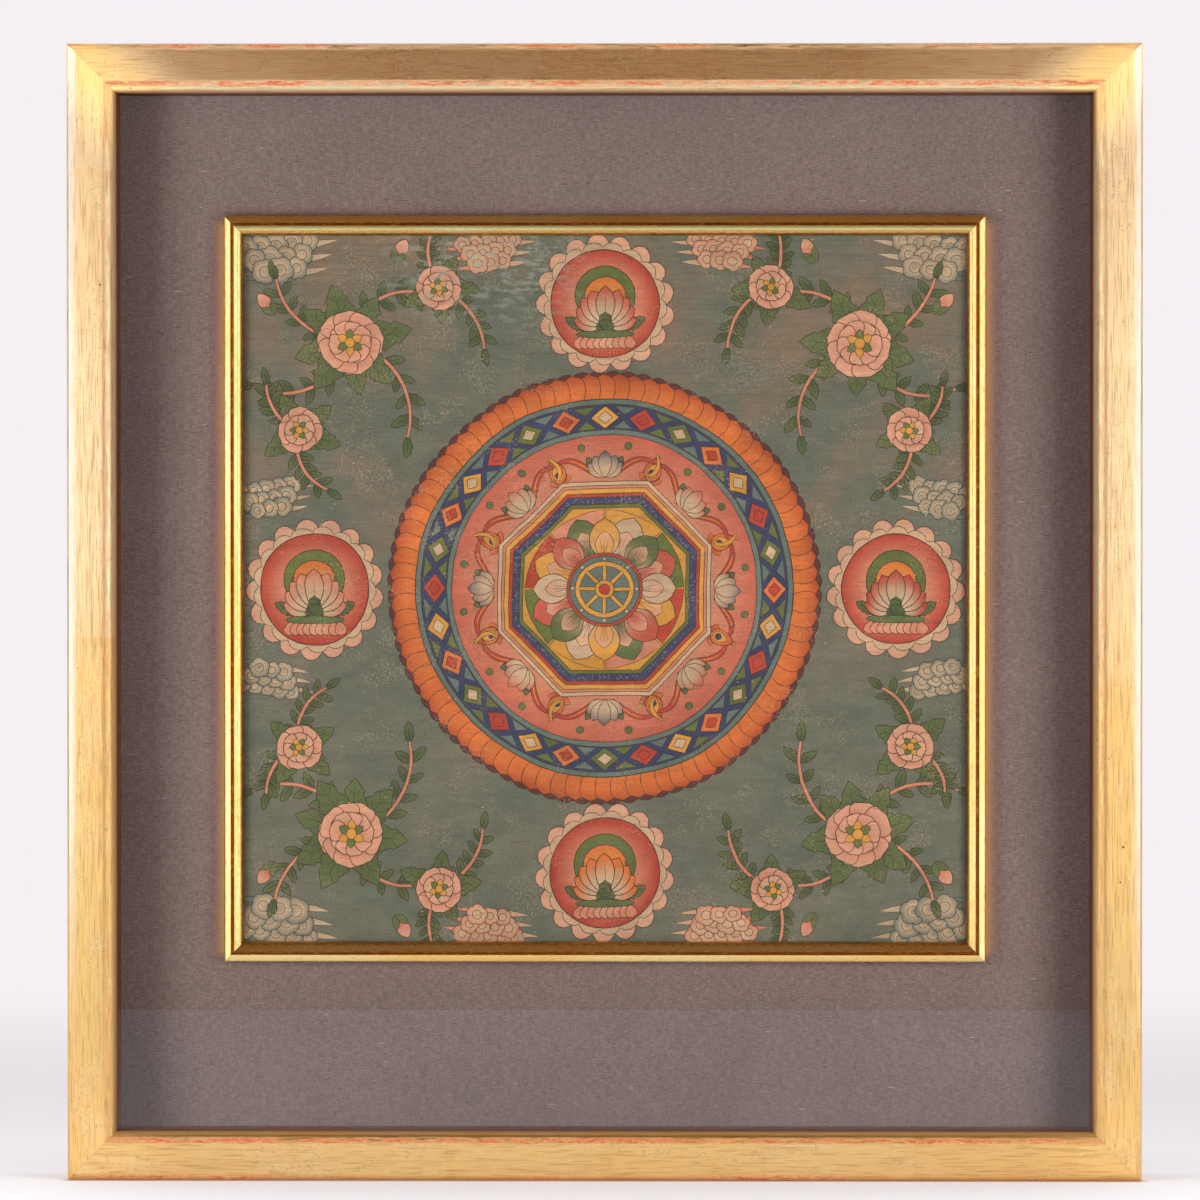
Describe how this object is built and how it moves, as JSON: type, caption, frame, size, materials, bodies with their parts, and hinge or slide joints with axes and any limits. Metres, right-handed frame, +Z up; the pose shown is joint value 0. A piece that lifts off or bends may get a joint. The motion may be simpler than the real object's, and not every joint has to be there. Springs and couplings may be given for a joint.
{
  "type": "thangka painting in a glazed box frame",
  "caption": "Painted cloth under a gilded slip on a cloth-covered mount, in a glazed box frame of gilded wood that stands on its bottom rail or hangs flat.",
  "frame": {"origin": "middle of the underside of the bottom rail, at half the frame's depth", "axes": "+X across to the viewer's right, -Y out of the painting towards the viewer, +Z up"},
  "size_m": [0.538, 0.042, 0.569],
  "materials": {
    "gilded_wood": "burnished gold leaf over red bole on wood, worn at the edges",
    "gilded_slip": "bright polished gold leaf",
    "dark_strip": "dark brown stain",
    "clear_glass": "clear picture glass",
    "painted_cloth": "matt mineral paint on primed cotton, finely crackled",
    "taupe_cloth": "taupe silk-linen weave with slubs",
    "fibreboard": "bare brown fibreboard"
  },
  "bodies": {
    "root": {"rail_top": "gilded_wood", "rail_bottom": "gilded_wood", "rail_left": "gilded_wood", "rail_right": "gilded_wood", "glass": "clear_glass", "spacer_top": "dark_strip", "spacer_bottom": "dark_strip", "spacer_left": "dark_strip", "spacer_right": "dark_strip", "slip_top": "gilded_slip", "slip_bottom": "gilded_slip", "slip_left": "gilded_slip", "slip_right": "gilded_slip", "painting_cloth": "painted_cloth", "mount_cloth": "taupe_cloth", "back_board": "fibreboard"}
  },
  "joints": []
}
